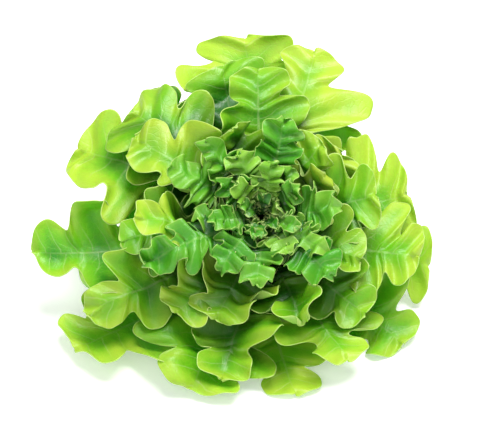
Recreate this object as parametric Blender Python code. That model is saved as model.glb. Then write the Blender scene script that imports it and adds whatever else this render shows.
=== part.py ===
"""A head of green oak leaf lettuce, cut at the stem and laid down with its heart facing out and up.

The head is a short tapering stem with leaves set round it in a spiral, the oldest lowest and
widest. Every loose leaf is a solid of its own, with a thick rib and a thin lobed blade. The
smallest leaves stand so close that they are joined with the growing tip into one heart.

A leaf is drawn in the head's own measures: its layer, counted inwards from the outermost leaf, the
distance from the root and the azimuth round the head's axis. Layers never cross, so leaves that
keep their order in layers never cross either.
"""

import math

import bmesh
import bpy
import numpy as np
from mathutils.bvhtree import BVHTree

MM = 0.001
SEED = 217

# How the head lies: its axis leans out towards -Y, and the lower edge of the cut stem is on the floor.
AXIS_LEAN = math.radians(50)
BUTT_RADIUS = 15.0 * MM
BUTT_HEIGHT = BUTT_RADIUS * math.cos(AXIS_LEAN)
RIGHT = np.array([1.0, 0.0, 0.0])
UP = np.array([0.0, math.sin(AXIS_LEAN), math.cos(AXIS_LEAN)])
OUT = np.array([0.0, -math.cos(AXIS_LEAN), math.sin(AXIS_LEAN)])
BUTT = np.array([0.0, 0.0, BUTT_HEIGHT])

# The stem inside the head, and the core of the heart on top of it, measured along the axis from the cut.
STEM_TOP = 48.0 * MM
STEM_TOP_RADIUS = 7.0 * MM
CORE_BOTTOM = 48.4 * MM
CORE_TOP = 78.0 * MM
CORE_TOP_RADIUS = 1.5 * MM
STEM_SIDES = 24
STEM_PROFILE = (
    (14.2 * MM, 0.0),
    (BUTT_RADIUS, 0.8 * MM),
    (STEM_TOP_RADIUS, STEM_TOP - 1 * MM),
    (6.0 * MM, STEM_TOP),
)
CORE_PROFILE = ((6.0 * MM, CORE_BOTTOM), (6.8 * MM, CORE_BOTTOM + 1 * MM), (CORE_TOP_RADIUS, CORE_TOP))
CLEAR = 0.4 * MM

# Where the leaves stand on the stem.
GOLDEN_ANGLE = 137.508
FIRST_AZIMUTH = 84.0
OUTER_LEAVES = 14
LOOSE_LEAVES = 32
LEAVES = 58

# How far the outer leaves reach from the axis, by azimuth in degrees, seen from the heart's side.
SPREAD = (
    (5, 128), (30, 108), (47, 104), (62, 120), (74, 160), (84, 164), (100, 134), (110, 140),
    (125, 154), (141, 146), (156, 152), (172, 132), (186, 148), (196, 184), (206, 210), (222, 172),
    (245, 150), (262, 154), (282, 134), (300, 152), (325, 154), (338, 146), (350, 138),
)

ALL_ROUND = tuple((azimuth + turn, reach) for turn in (-360, 0, 360) for azimuth, reach in SPREAD)

# How far a leaf may differ from its neighbours in azimuth, reach and width.
AZIMUTH_SHIFTS = (-10.0, 10.0)
REACH_SHARES = (0.9, 1.06)
WIDTH_SHARES = (0.85, 1.15)

# Layers of leaves, outermost first. One leaf stands in each of the layers from 0.
# Columns: layer, root along the stem, angle from the axis at root and tip, length over which it bends,
# height that it keeps above the floor.
LAYERS = (
    (-8, 3, 64, 118, 165, 1.0),
    (0, 7, 58, 108, 160, 4.5),
    (14, 24, 36, 90, 125, 19),
    (31, 42, 10, 70, 80, 40),
    (32, 51, 6, 58, 78, 41),
    (57, 74, 2, 24, 36, 62),
    (85, 88, 0.5, 15, 20, 80),
)
LAST_REACH = 240.0 * MM
FLOOR_SLOWING = 30.0 * MM
STEPS = 80
AZIMUTH_STEP = 5

# Reach of the leaves as a share of the spread.
REACHES = (
    (0, 1.0), (13, 0.92), (14, 0.82), (25, 0.66), (26, 0.61), (31, 0.55), (32, 0.50), (45, 0.26), (57, 0.05),
)

# Blade and rib sizes by leaf.
WIDTHS = ((0, 120), (13, 110), (14, 95), (25, 78), (31, 64), (32, 58), (45, 38), (57, 14))
RIB_HALF_WIDTHS = ((0, 7.0), (31, 3.6), (57, 1.4))
RIB_HALF_THICKNESSES = ((0, 1.6), (31, 0.9), (57, 0.6))
BLADE_HALF_THICKNESS = 0.36 * MM
TIP_HALF_WIDTH = 1.2 * MM
STALK_SHARE = 0.36
NOTCH_SHARE = 0.78
VEIN_SLOPE = 0.5
NOTCH_SLOWING = 0.4
TERMINAL_TURNS = (math.radians(-25), math.radians(90))
LOOSE_LOBES = 2
HEART_LOBES = 3
LOBE_SIZES = (0.82, 1.15)
LOWEST_LOBE = 0.8
LOWEST_WAIST = 0.75
TERMINAL_SWELL = 0.55
WAISTS = (0.22, 0.42)
WING = 0.3
LOBE_ROUNDNESS = 0.6

# How freely the leaves bend, in degrees: cupping across, curl of lobes and notches, twist, sway.
CUPS = (-35.0, 30.0)
LOBE_CURLS = (-45.0, 110.0)
NOTCH_CURLS = (-25.0, 45.0)
HEART_LOBE_CURLS = (40.0, 150.0)
HEART_NOTCH_CURLS = (-90.0, 0.0)
TWISTS = (-22.0, 22.0)
SWAYS = (-12.0, 12.0)
NODS = (-26.0, 16.0)
# Shares of the length between which a leaf goes over from a straight stalk to a freely bent blade.
BLADE_STARTS = (0.12, 0.42)

# How a leaf is laid: most layers that it may cross, how far it is raised where it meets another leaf,
# and the least radius and room between layers that its folds are measured by.
LAYERS_CROSSED = (-9, 20)
LEAST_RADIUS = 6.0 * MM
LEAST_ROOM = 0.3 * MM
LIFT = 0.8
MOST_LIFTS = 30
# Each leaf has the first of these shares of its folds at which it hardly crosses itself.
EASES = (1.0, 0.85, 0.7, 0.55, 0.4, 0.25)
MOST_FOLDED = 14
# Leaves that fold over their own notches, and the largest share of their folds that they are given.
MOST_EASES = {4: 0.4}

# Grids of the leaves: rows to a lobe and columns to a side.
LOOSE_GRID = (0.25, 2)
HEART_GRID = (0.5, 1)

STEM_COLOUR = (0.62, 0.66, 0.30)
OUTER_COLOUR = (0.17, 0.44, 0.03)
MIDDLE_COLOUR = (0.22, 0.55, 0.04)
HEART_COLOUR = (0.12, 0.36, 0.03)

# The map of what lies under a leaf, by distance from the root and by azimuth.
MAP_STEP = 3.0 * MM
MAP_TURN = 3.0
MAP_SHAPE = (int(LAST_REACH / MAP_STEP) + 1, int(360 / MAP_TURN))


def along_table(table, at, column=1):
    """A value read off a table of rows, between its rows."""
    return np.interp(at, [row[0] for row in table], [row[column] for row in table])


def between(ends, share):
    """A value part of the way from ends[0] to ends[1]."""
    return ends[0] + (ends[1] - ends[0]) * share


def raised_at(turn):
    """How far along the veins' starts a point of a round lobe lies, for a radius of 1."""
    return math.sin(turn) - VEIN_SLOPE * math.cos(turn)


def stem_radius(along):
    """Radius of the stem and of the heart's core at a distance from the cut."""
    return np.interp(along, (0.0, STEM_TOP, CORE_TOP), (BUTT_RADIUS, STEM_TOP_RADIUS, CORE_TOP_RADIUS))


class Head:
    """Where the layers run: distance from the axis and along it, by layer, distance and azimuth."""

    def __init__(self):
        self.first = LAYERS[0][0]
        layer = np.arange(self.first, LAYERS[-1][0] + 1)[:, None]
        azimuth = np.radians(np.arange(0, 360, AZIMUTH_STEP))[None, :]
        root, at_root, at_tip, bending, gap = (along_table(LAYERS, layer, k) for k in range(1, 6))
        thickness = along_table(RIB_HALF_THICKNESSES, layer)
        r = stem_radius(root * MM) + CLEAR + thickness * MM + 0 * azimuth
        z = root * MM + 0 * azimuth
        sink = np.sin(azimuth) * math.cos(AXIS_LEAN)
        amplitude = np.hypot(sink, math.sin(AXIS_LEAN))
        level = np.arctan2(sink, math.sin(AXIS_LEAN))
        step = LAST_REACH / STEPS
        table = []
        for s in np.arange(STEPS + 1) * step:
            table.append(np.stack([r, z], axis=-1))
            free = np.radians(at_root + (at_tip - at_root) * np.minimum(s / (bending * MM), 1.15) ** 1.3)
            height = BUTT_HEIGHT + z * math.sin(AXIS_LEAN) + r * sink
            slope = (gap * MM - height) / FLOOR_SLOWING
            limit = level + np.arccos(np.clip(slope / amplitude, -1, 1))
            angle = (free**-8 + np.maximum(limit, 0.02) ** -8) ** (-1 / 8)
            r = r + np.sin(angle) * step
            z = z + np.cos(angle) * step
        self.table = np.stack(table, axis=1)
        self.step = step
        d_layer = np.gradient(self.table, axis=0)
        d_s = np.gradient(self.table, axis=1)
        cross = d_layer[..., 1] * d_s[..., 0] - d_layer[..., 0] * d_s[..., 1]
        self.room = cross / np.linalg.norm(d_s, axis=-1)

    def read(self, table, layer, s, azimuth):
        """Trilinear reading of a table at layers, distances and azimuths in degrees."""
        layers, steps, turns = table.shape[:3]
        i = np.clip(layer - self.first, 0, layers - 1.001)
        j = np.clip(s / self.step, 0, steps - 1.001)
        k = (azimuth % 360) / AZIMUTH_STEP
        total = 0.0
        for di in (0, 1):
            for dj in (0, 1):
                for dk in (0, 1):
                    part = table[i.astype(int) + di, j.astype(int) + dj, (k.astype(int) + dk) % turns]
                    weight = (1 - abs(di - i % 1)) * (1 - abs(dj - j % 1)) * (1 - abs(dk - k % 1))
                    total = total + (weight[..., None] * part if part.ndim > weight.ndim else weight * part)
        return total

    def place(self, layer, s, azimuth):
        """Points in the room."""
        r, z = np.moveaxis(self.read(self.table, layer, s, azimuth), -1, 0)
        turn = np.radians(azimuth)
        flat = np.stack([r * np.cos(turn), r * np.sin(turn), z], axis=-1)
        return BUTT + flat @ np.array([RIGHT, UP, OUT])


class Leaf:
    """One leaf. Its surface is a grid: rows run from root to tip, columns from edge to edge."""

    def __init__(self, order, head, draw):
        self.order = order
        self.heart = order >= LOOSE_LEAVES
        self.azimuth = FIRST_AZIMUTH + GOLDEN_ANGLE * order + draw.uniform(*AZIMUTH_SHIFTS)
        spread = along_table(ALL_ROUND, self.azimuth % 360)
        self.reach = spread * along_table(REACHES, order) * draw.uniform(*REACH_SHARES) * MM
        self.lobes = HEART_LOBES if self.heart else LOOSE_LOBES
        self.width = along_table(WIDTHS, order) * draw.uniform(*WIDTH_SHARES) * MM
        self.rib_half_width = along_table(RIB_HALF_WIDTHS, order) * MM
        self.rib_half_thickness = along_table(RIB_HALF_THICKNESSES, order) * MM
        self.sway = draw.uniform(*SWAYS)
        self.twist = draw.uniform(*TWISTS)
        self.nod = draw.uniform(*NODS)
        self.cup = draw.uniform(*CUPS)
        self.lobe_sizes = draw.uniform(*LOBE_SIZES, size=(2, self.lobes))
        self.waists = draw.uniform(*WAISTS, size=self.lobes) * np.linspace(LOWEST_WAIST, 1.0, self.lobes)
        sides = (2, self.lobes + 1)
        self.lobe_curls = draw.uniform(*(HEART_LOBE_CURLS if self.heart else LOBE_CURLS), size=sides)
        self.notch_curls = draw.uniform(*(HEART_NOTCH_CURLS if self.heart else NOTCH_CURLS), size=sides)
        marks = np.arange(0, LAST_REACH, MM)
        same = np.ones(marks.shape)
        r = head.read(head.table, same * order, marks, same * (self.azimuth + self.sway))[:, 0]
        self.length = np.interp(self.reach, r, marks)

    def rows(self, step):
        """Row numbers: below 0 on the stalk, then 1 for each side lobe and a half for the lobe at the tip."""
        stalk = np.linspace(-1, 0, 1 + max(1, round(0.75 / step)))[:-1]
        side = np.arange(0, self.lobes - 1e-6, step)
        return np.concatenate([stalk, side, self.lobes + np.arange(0, 0.5 + 1e-6, step / 2)])

    def vein_starts(self, rows):
        """Where rows leave the rib, measured from the root: slow past the notches, fast past the lobes."""
        t = rows - np.floor(rows)
        slowing = NOTCH_SLOWING * np.sin(2 * np.pi * t) / (2 * np.pi)
        number = np.clip(np.floor(rows), 0, self.lobes) + t - slowing
        last = NOTCH_SHARE * self.length
        share = np.minimum(number, self.lobes) / self.lobes
        starts = self.length * between((STALK_SHARE, NOTCH_SHARE), share)
        starts[rows < 0] = STALK_SHARE * self.length * (rows[rows < 0] + 1)
        turn = between(TERMINAL_TURNS, 2 * np.clip(rows - self.lobes, 0, 0.5))
        raised = np.sin(turn) - VEIN_SLOPE * np.cos(turn)
        share = (raised - raised_at(TERMINAL_TURNS[0])) / (1 - raised_at(TERMINAL_TURNS[0]))
        return np.where(rows >= self.lobes, last + (self.length - last) * share, starts)

    def half_widths(self, rows, side):
        """How far the edge is from the rib, along each vein."""
        wing = self.width / 2 * WING
        stalk = between((self.rib_half_width, wing), np.clip(rows + 1, 0, 1))
        notches = np.array([wing, *(self.width / 2 * self.waists)])
        tips = self.width / 2 * self.lobe_sizes[side] * np.linspace(LOWEST_LOBE, 1.0, self.lobes)
        lobe = np.clip(np.floor(rows).astype(int), 0, self.lobes - 1)
        t = np.clip(rows - lobe, 0, 1)
        notch = between((notches[lobe], notches[lobe + 1]), t)
        lobed = notch + (tips[lobe] - notch) * np.sin(np.pi * t) ** LOBE_ROUNDNESS
        turn = between(TERMINAL_TURNS, 2 * np.clip(rows - self.lobes, 0, 0.5))
        swell = 1 + TERMINAL_SWELL * np.sin(2 * np.pi * np.clip(rows - self.lobes, 0, 0.5))
        terminal = notches[-1] * np.cos(turn) / math.cos(TERMINAL_TURNS[0]) * swell + TIP_HALF_WIDTH
        return np.where(rows < 0, stalk, np.where(rows < self.lobes, lobed, terminal))

    def curl(self, rows, side):
        """Degrees that the blade turns up, or down, between the rib and its edge, by row."""
        marks, turns = [-1.0, -0.2], [0.0, 0.0]
        for lobe in range(self.lobes):
            marks += [lobe, lobe + 0.5]
            turns += [self.notch_curls[side][lobe] * (lobe > 0), self.lobe_curls[side][lobe]]
        marks += [self.lobes, self.lobes + 0.5]
        turns += [self.notch_curls[side][self.lobes], 0.3 * self.lobe_curls[side][self.lobes]]
        return np.interp(rows, marks, turns)

    def half_thickness(self, rows, across):
        """Half the leaf's thickness at each grid point: thick along the rib, thin at the edge."""
        taper = np.clip(1 - self.vein_starts(rows) / self.length, 0, 1) ** 0.8
        rib = BLADE_HALF_THICKNESS + (self.rib_half_thickness - BLADE_HALF_THICKNESS) * taper
        grid = np.full((len(rows), 2 * across + 1), BLADE_HALF_THICKNESS)
        grid[rows < 0] = rib[rows < 0, None] * 0.6
        grid[:, across] = rib
        return grid

    def drawn(self, step, across):
        """Distance from the root, azimuth and height off the leaf's own layer, at each grid point."""
        rows = self.rows(step)
        u = np.abs(np.linspace(-1, 1, 2 * across + 1))[None, :]
        left = np.arange(2 * across + 1) < across
        edge = np.where(left, *(self.half_widths(rows, side)[:, None] for side in (0, 1)))
        x = edge * u
        starts = self.vein_starts(rows)[:, None]
        curls = np.where(left, self.curl(rows, 0)[:, None], self.curl(rows, 1)[:, None])
        blade = np.clip((starts / self.length - BLADE_STARTS[0]) / np.ptp(BLADE_STARTS), 0, 1)
        turn = np.radians(self.cup * u + curls * u**1.3) * blade
        turn = np.where(np.abs(turn) < 1e-4, 1e-4, turn)
        aside = x * np.sin(turn) / turn
        s = starts + VEIN_SLOPE * aside * np.clip(rows + 1, 0, 1)[:, None]
        aside = aside * np.where(left, -1, 1)
        lift = x * (1 - np.cos(turn)) / turn + aside * math.tan(math.radians(self.twist)) * blade
        lift += self.nod * MM * (s / self.length) ** 2
        return rows, s, aside, lift


def triangles(shape):
    """Triangles over a grid of points, mirrored about the rib, with normals that face the heart."""
    rows, columns = shape[:2]
    found = []
    for r in range(rows - 1):
        for c in range(columns - 1):
            a, b = r * columns + c, r * columns + c + 1
            d, e = a + columns, b + columns
            if 2 * c < columns - 1:
                found += [(a, d, b), (b, d, e)]
            else:
                found += [(a, e, b), (a, d, e)]
    return np.array(found)


def denser(grid, times):
    """A grid of values with more between them."""
    for axis in (0, 1):
        count = grid.shape[axis]
        at = np.linspace(0, count - 1, (count - 1) * times + 1)
        low = np.minimum(at.astype(int), count - 2)
        share = (at - low)[:, None] if axis == 0 else (at - low)[None, :]
        grid = grid.take(low, axis) * (1 - share) + grid.take(low + 1, axis) * share
    return grid


class Blade:
    """A leaf laid on those outside it."""

    def __init__(self, leaf, head, cover, outside, step, across):
        self.leaf = leaf
        rows, s, aside, lift = leaf.drawn(step, across)
        self.half = leaf.half_thickness(rows, across)
        self.faces = triangles(s.shape)
        self.corners = self.all_faces() % self.half.size
        for ease in EASES:
            if ease > MOST_EASES.get(leaf.order, 1.0):
                continue
            self.lay(lift * ease, s, aside, head, cover, outside)
            if not self.folded():
                break
        cover.add(self.top, s, self.azimuth)
        if leaf.heart:
            self.grid[0] = sunk(self.grid[0])

    def lay(self, lift, s, aside, head, cover, outside):
        """Lays the blade over what is filled so far, and raises it where it crosses a leaf outside it."""
        leaf = self.leaf
        layer = np.full(s.shape, float(leaf.order))
        azimuth = leaf.azimuth + leaf.sway * s / leaf.length
        r = head.read(head.table, layer, s, azimuth)[..., 0]
        azimuth = azimuth + np.degrees(aside / np.maximum(r, LEAST_RADIUS))
        room = np.maximum(head.read(head.room, layer, s, azimuth), LEAST_ROOM)
        most = np.where(lift > 0, LAYERS_CROSSED[1], -LAYERS_CROSSED[0])
        layer = layer + most * np.tanh(lift / room / most)
        layer = np.maximum(layer, cover.under(s, azimuth) + (self.half + CLEAR) / room)
        layer = np.maximum(layer, LAYERS[0][0] + 1.0)
        self.stand(head.place(layer, s, azimuth))
        for _ in range(MOST_LIFTS):
            crossed = self.crossed(outside)
            if not crossed:
                break
            raised = np.zeros(layer.size)
            raised[crossed] = LIFT
            layer = layer + spread_out(raised.reshape(layer.shape))
            self.stand(head.place(layer, s, azimuth))
        self.top = layer + self.half / room
        self.azimuth = azimuth

    def stand(self, grid):
        """Puts the blade at these points, all above the floor."""
        grid[..., 2] = np.maximum(grid[..., 2], self.half + CLEAR)
        self.grid = grid
        self.tree = self.grown_tree()

    def folded(self):
        """Whether the blade crosses itself at more than a few of its triangles."""
        points, faces = self.solid(0.0)
        tree = BVHTree.FromPolygons(points.tolist(), faces.tolist())
        corners = [set(face) for face in faces.tolist()]
        return sum(a < b and not corners[a] & corners[b] for a, b in tree.overlap(tree)) > MOST_FOLDED

    def grown_tree(self):
        """The solid blade with half the clearance round it, for finding what it crosses."""
        points, faces = self.solid(CLEAR / 2)
        return BVHTree.FromPolygons(points.tolist(), faces.tolist())

    def crossed(self, outside):
        """Numbers of the grid points where the blade crosses one of those outside it."""
        rooted = 2 * self.half.shape[1]
        found = set()
        for other in outside:
            joined = self.leaf.heart and other.leaf.heart
            for mine, theirs in self.tree.overlap(other.tree):
                corners = self.corners[mine]
                if joined and min(corners.min(), other.corners[theirs].min()) < rooted:
                    continue
                found.update(corners.tolist())
        return sorted(found)

    def solid(self, growth):
        """Points and triangles of the blade with its thickness: both faces and the rim between them."""
        points = self.grid.reshape(-1, 3)
        a, b, c = (points[self.faces[:, k]] for k in range(3))
        normals = np.zeros_like(points)
        for corner in range(3):
            np.add.at(normals, self.faces[:, corner], np.cross(b - a, c - a))
        normals /= np.linalg.norm(normals, axis=1, keepdims=True)
        offset = normals * (self.half.reshape(-1, 1) + growth)
        points = np.concatenate([points + offset, points - offset])
        return points, self.all_faces()

    def all_faces(self):
        """Triangles of the side towards the heart, of the other side and of the rim between them."""
        rows, columns = self.half.shape
        count = rows * columns
        number = np.arange(count).reshape(rows, columns)
        rim = np.concatenate([number[0, :-1], number[:-1, -1], number[-1, :0:-1], number[:0:-1, 0]])
        after = np.roll(rim, -1)
        low = np.stack([rim, after, count + after], axis=1)
        high = np.stack([rim, count + after, count + rim], axis=1)
        return np.concatenate([self.faces, count + self.faces[:, ::-1], low, high])


def sunk(points):
    """Points moved in towards the axis, to stand inside the core."""
    along = (points - BUTT) @ OUT
    foot = BUTT + along[:, None] * OUT
    return foot + (points - foot) * 0.25


def spread_out(grid):
    """A grid of values, each passed on to its neighbours by half."""
    padded = np.pad(grid, 1)
    beside = np.max([padded[:-2, 1:-1], padded[2:, 1:-1], padded[1:-1, :-2], padded[1:-1, 2:]], axis=0)
    return np.maximum(grid, beside / 2)


class Cover:
    """The map of the innermost layer that is filled so far."""

    def __init__(self):
        self.top = np.full(MAP_SHAPE, float(LAYERS[0][0]))
        self.spread = self.top

    def cells(self, s, azimuth):
        i = np.clip(np.round(s / MAP_STEP).astype(int), 0, MAP_SHAPE[0] - 1)
        k = np.round(azimuth / MAP_TURN).astype(int) % MAP_SHAPE[1]
        return i, k

    def under(self, s, azimuth):
        """The filled layer at points, read between the cells."""
        i = np.clip(s / MAP_STEP, 0, MAP_SHAPE[0] - 1.001)
        k = azimuth / MAP_TURN
        low, left = np.floor(i).astype(int), np.floor(k).astype(int)
        up, side = i - low, k - left
        left, right = left % MAP_SHAPE[1], (left + 1) % MAP_SHAPE[1]
        near = self.spread[low, left] * (1 - side) + self.spread[low, right] * side
        far = self.spread[low + 1, left] * (1 - side) + self.spread[low + 1, right] * side
        return near * (1 - up) + far * up

    def add(self, layer, s, azimuth):
        cells = self.cells(denser(s, 8), denser(azimuth, 8))
        np.maximum.at(self.top, cells, denser(layer, 8))
        spread = self.top
        for reach in range(2):
            spread = np.max([spread] + [np.roll(spread, k, axis=1) for k in (-1, 1)], axis=0)
            up = np.concatenate([spread[1:], spread[-1:]])
            down = np.concatenate([spread[:1], spread[:-1]])
            spread = np.max([spread, up, down], axis=0)
        for axis in (0, 1):
            spread = (np.roll(spread, 1, axis) + 2 * spread + np.roll(spread, -1, axis)) / 4
        self.spread = spread


def mesh_object(name, points, faces, material):
    mesh = bpy.data.meshes.new(name)
    mesh.from_pydata(points, [], faces)
    mesh.materials.append(material)
    made = bpy.data.objects.new(name, mesh)
    bpy.context.scene.collection.objects.link(made)
    return made


def turned(name, profile, material):
    """A solid of revolution on the head's axis, from (distance from the axis, distance along it)."""
    turns = np.radians(np.arange(STEM_SIDES) * 360 / STEM_SIDES)
    points = []
    for r, z in profile:
        for turn in turns:
            points.append(tuple(BUTT + r * (RIGHT * math.cos(turn) + UP * math.sin(turn)) + OUT * z))
    faces = [tuple(range(STEM_SIDES - 1, -1, -1))]
    for ring in range(len(profile) - 1):
        for k in range(STEM_SIDES):
            a, b = ring * STEM_SIDES + k, ring * STEM_SIDES + (k + 1) % STEM_SIDES
            faces.append((a, b, b + STEM_SIDES, a + STEM_SIDES))
    last = (len(profile) - 1) * STEM_SIDES
    faces.append(tuple(range(last, last + STEM_SIDES)))
    return mesh_object(name, points, faces, material)


def fused(name, first, others):
    """The first object with the others joined to it as one closed body."""
    cutters = bpy.data.collections.new(name + "_leaves")
    for other in others:
        bpy.context.scene.collection.objects.unlink(other)
        cutters.objects.link(other)
    union = first.modifiers.new("union", "BOOLEAN")
    union.operation = "UNION"
    union.operand_type = "COLLECTION"
    union.collection = cutters
    union.solver = "MANIFOLD"
    graph = bpy.context.evaluated_depsgraph_get()
    mesh = bpy.data.meshes.new_from_object(first.evaluated_get(graph))
    first.modifiers.clear()
    first.data = without_pockets(mesh)
    first.name = name
    for other in others:
        bpy.data.objects.remove(other)
    bpy.data.collections.remove(cutters)
    return first


def without_pockets(mesh):
    """The mesh with only its outer skin, so that what is closed in between leaves is solid."""
    skin_mesh = bmesh.new()
    skin_mesh.from_mesh(mesh)
    left = set(skin_mesh.faces)
    skins = []
    while left:
        reached = [left.pop()]
        for face in reached:
            beyond = {other for edge in face.edges for other in edge.link_faces if other in left}
            left -= beyond
            reached.extend(beyond)
        skins.append(reached)
    skins.sort(key=len)
    inner = [face for skin in skins[:-1] for face in skin]
    bmesh.ops.delete(skin_mesh, geom=inner, context="FACES")
    skin_mesh.to_mesh(mesh)
    skin_mesh.free()
    return mesh


def leaf_material(name, colour):
    material = bpy.data.materials.new(name)
    material.use_nodes = True
    shader = material.node_tree.nodes["Principled BSDF"]
    shader.inputs["Base Color"].default_value = (*colour, 1.0)
    shader.inputs["Roughness"].default_value = 0.45
    return material


def ring_name(order):
    if order < OUTER_LEAVES:
        return f"leaf_outer_{order + 1:02d}"
    return f"leaf_middle_{order - OUTER_LEAVES + 1:02d}"


for old in list(bpy.data.objects):
    bpy.data.objects.remove(old)

draw = np.random.default_rng(SEED)
head = Head()
cover = Cover()
blades = []
for order in range(LEAVES):
    leaf = Leaf(order, head, draw)
    step, across = HEART_GRID if leaf.heart else LOOSE_GRID
    blades.append(Blade(leaf, head, cover, blades, step, across))

stem = turned("stem", STEM_PROFILE, leaf_material("stem", STEM_COLOUR))
core = turned("core", CORE_PROFILE, leaf_material("heart", HEART_COLOUR))
heart_leaves = []
for blade in blades:
    points, faces = (numbers.tolist() for numbers in blade.solid(0.0))
    if blade.leaf.heart:
        heart_leaves.append(mesh_object("heart_leaf", points, faces, core.data.materials[0]))
    else:
        name = ring_name(blade.leaf.order)
        share = blade.leaf.order / LOOSE_LEAVES
        colour = [a + (b - a) * share for a, b in zip(OUTER_COLOUR, MIDDLE_COLOUR)]
        mesh_object(name, points, faces, leaf_material(name, colour))
heart = fused("heart", core, heart_leaves)

corners = np.array([vertex.co for part in bpy.context.scene.objects for vertex in part.data.vertices])
low, high = corners.min(axis=0), corners.max(axis=0)
for part in bpy.context.scene.objects:
    for vertex in part.data.vertices:
        vertex.co.x -= (low[0] + high[0]) / 2
        vertex.co.y -= (low[1] + high[1]) / 2
        vertex.co.z -= low[2]
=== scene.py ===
import math

import bmesh
import bpy
import numpy as np
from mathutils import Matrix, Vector
from mathutils.bvhtree import BVHTree


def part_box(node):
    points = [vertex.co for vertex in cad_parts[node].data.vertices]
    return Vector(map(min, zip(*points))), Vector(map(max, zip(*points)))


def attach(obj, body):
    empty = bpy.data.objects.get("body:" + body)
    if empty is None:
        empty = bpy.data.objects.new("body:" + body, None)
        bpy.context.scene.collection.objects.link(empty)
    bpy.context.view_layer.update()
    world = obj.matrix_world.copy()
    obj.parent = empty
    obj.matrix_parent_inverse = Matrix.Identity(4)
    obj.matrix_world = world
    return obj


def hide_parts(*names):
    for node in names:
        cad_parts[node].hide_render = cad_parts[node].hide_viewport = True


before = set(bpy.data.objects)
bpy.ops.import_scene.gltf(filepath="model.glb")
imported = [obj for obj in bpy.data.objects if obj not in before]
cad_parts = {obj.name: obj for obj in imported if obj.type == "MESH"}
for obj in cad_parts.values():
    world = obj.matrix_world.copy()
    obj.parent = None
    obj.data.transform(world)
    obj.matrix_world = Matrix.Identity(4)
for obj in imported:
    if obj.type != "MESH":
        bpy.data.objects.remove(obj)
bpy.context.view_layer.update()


# The cut stem.
# The short solid stem that every leaf grows from, cut off flat where the head was harvested.
# Its flesh is watery and pale green, with a cream cut face, a brown ring where the milky sap has dried,
# and low ridges up its side where the outer leaves were broken off.

MM = 0.001

# How the head lies: its axis leans out towards -Y, and the lower edge of the cut stem is on the floor.
AXIS_LEAN = math.radians(50)
BUTT_RADIUS = 15.0 * MM
BUTT_HEIGHT = BUTT_RADIUS * math.cos(AXIS_LEAN)
RIGHT = np.array([1.0, 0.0, 0.0])
UP = np.array([0.0, math.sin(AXIS_LEAN), math.cos(AXIS_LEAN)])
OUT = np.array([0.0, -math.cos(AXIS_LEAN), math.sin(AXIS_LEAN)])
BUTT = np.array([0.0, 0.0, BUTT_HEIGHT])


class Wire:
    """A socket of a node tree, with arithmetic on what it carries."""

    def __init__(self, bench, socket):
        self.bench = bench
        self.socket = socket

    def math(self, operation, *others):
        return self.bench.math(operation, self, *others)

    def __add__(self, other):
        return self.math("ADD", other)

    def __sub__(self, other):
        return self.math("SUBTRACT", other)

    def __rsub__(self, other):
        return self.bench.math("SUBTRACT", other, self)

    def __mul__(self, other):
        return self.math("MULTIPLY", other)

    def __truediv__(self, other):
        return self.math("DIVIDE", other)

    def __rtruediv__(self, other):
        return self.bench.math("DIVIDE", other, self)

    def __neg__(self):
        return self.math("MULTIPLY", -1.0)

    __radd__ = __add__
    __rmul__ = __mul__


class Bench:
    """A node tree with one way of adding a node to it."""

    def __init__(self, tree):
        self.tree = tree

    def node(self, kind, settings=None, inputs=None, output=0):
        made = self.tree.nodes.new(kind)
        for name, value in (settings or {}).items():
            setattr(made, name, value)
        for where, value in (inputs or {}).items():
            if isinstance(value, Wire):
                self.tree.links.new(value.socket, made.inputs[where])
            else:
                made.inputs[where].default_value = value
        return Wire(self, made.outputs[output])

    def math(self, operation, *values):
        return self.node("ShaderNodeMath", {"operation": operation}, dict(enumerate(values)))

    def ramp(self, value, low, high):
        """0 below low, 1 above high, and smooth between them."""
        settings = {"interpolation_type": "SMOOTHSTEP"}
        return self.node("ShaderNodeMapRange", settings, {0: value, 1: low, 2: high, 3: 0.0, 4: 1.0})

    def mix(self, share, first, second):
        colours = [value if isinstance(value, Wire) else (*value, 1.0) for value in (first, second)]
        inputs = {0: share, 6: colours[0], 7: colours[1]}
        return self.node("ShaderNodeMix", {"data_type": "RGBA"}, inputs, output=2)

    def noise(self, where, scale, detail=2.0):
        return self.node("ShaderNodeTexNoise", None, {"Vector": where, "Scale": scale, "Detail": detail})

    def vector(self, *values):
        return self.node("ShaderNodeCombineXYZ", None, dict(enumerate(values)))

    def carried(self, name):
        """A number that the mesh carries."""
        return self.node("ShaderNodeAttribute", {"attribute_name": name}, output=2)

    def feed(self, shader, inputs):
        for name, value in inputs.items():
            self.tree.links.new(value.socket, shader.inputs[name])


def new_material(name):
    material = bpy.data.materials.new(name)
    material.use_nodes = True
    bench = Bench(material.node_tree)
    return material, bench, material.node_tree.nodes["Principled BSDF"]


def placed(name, data):
    """A new object in the scene."""
    made = bpy.data.objects.new(name, data)
    bpy.context.scene.collection.objects.link(made)
    return made


def ring_faces(rings, around):
    """Four-sided faces between rings of points, each ring closed on itself."""
    faces = []
    for row in range(rings - 1):
        for k in range(around):
            a, b = row * around + k, row * around + (k + 1) % around
            faces.append((a, b, b + around, a + around))
    return faces


def piece(name, points, faces, material, floats=None):
    """A mesh object of these points and faces, with numbers carried by its points."""
    mesh = bpy.data.meshes.new(name)
    mesh.from_pydata(points, [], faces)
    mesh.materials.append(material)
    mesh.shade_smooth()
    for attribute, values in (floats or {}).items():
        mesh.attributes.new(attribute, "FLOAT", "POINT").data.foreach_set("value", np.ravel(values))
    return placed(name, mesh)


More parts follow.
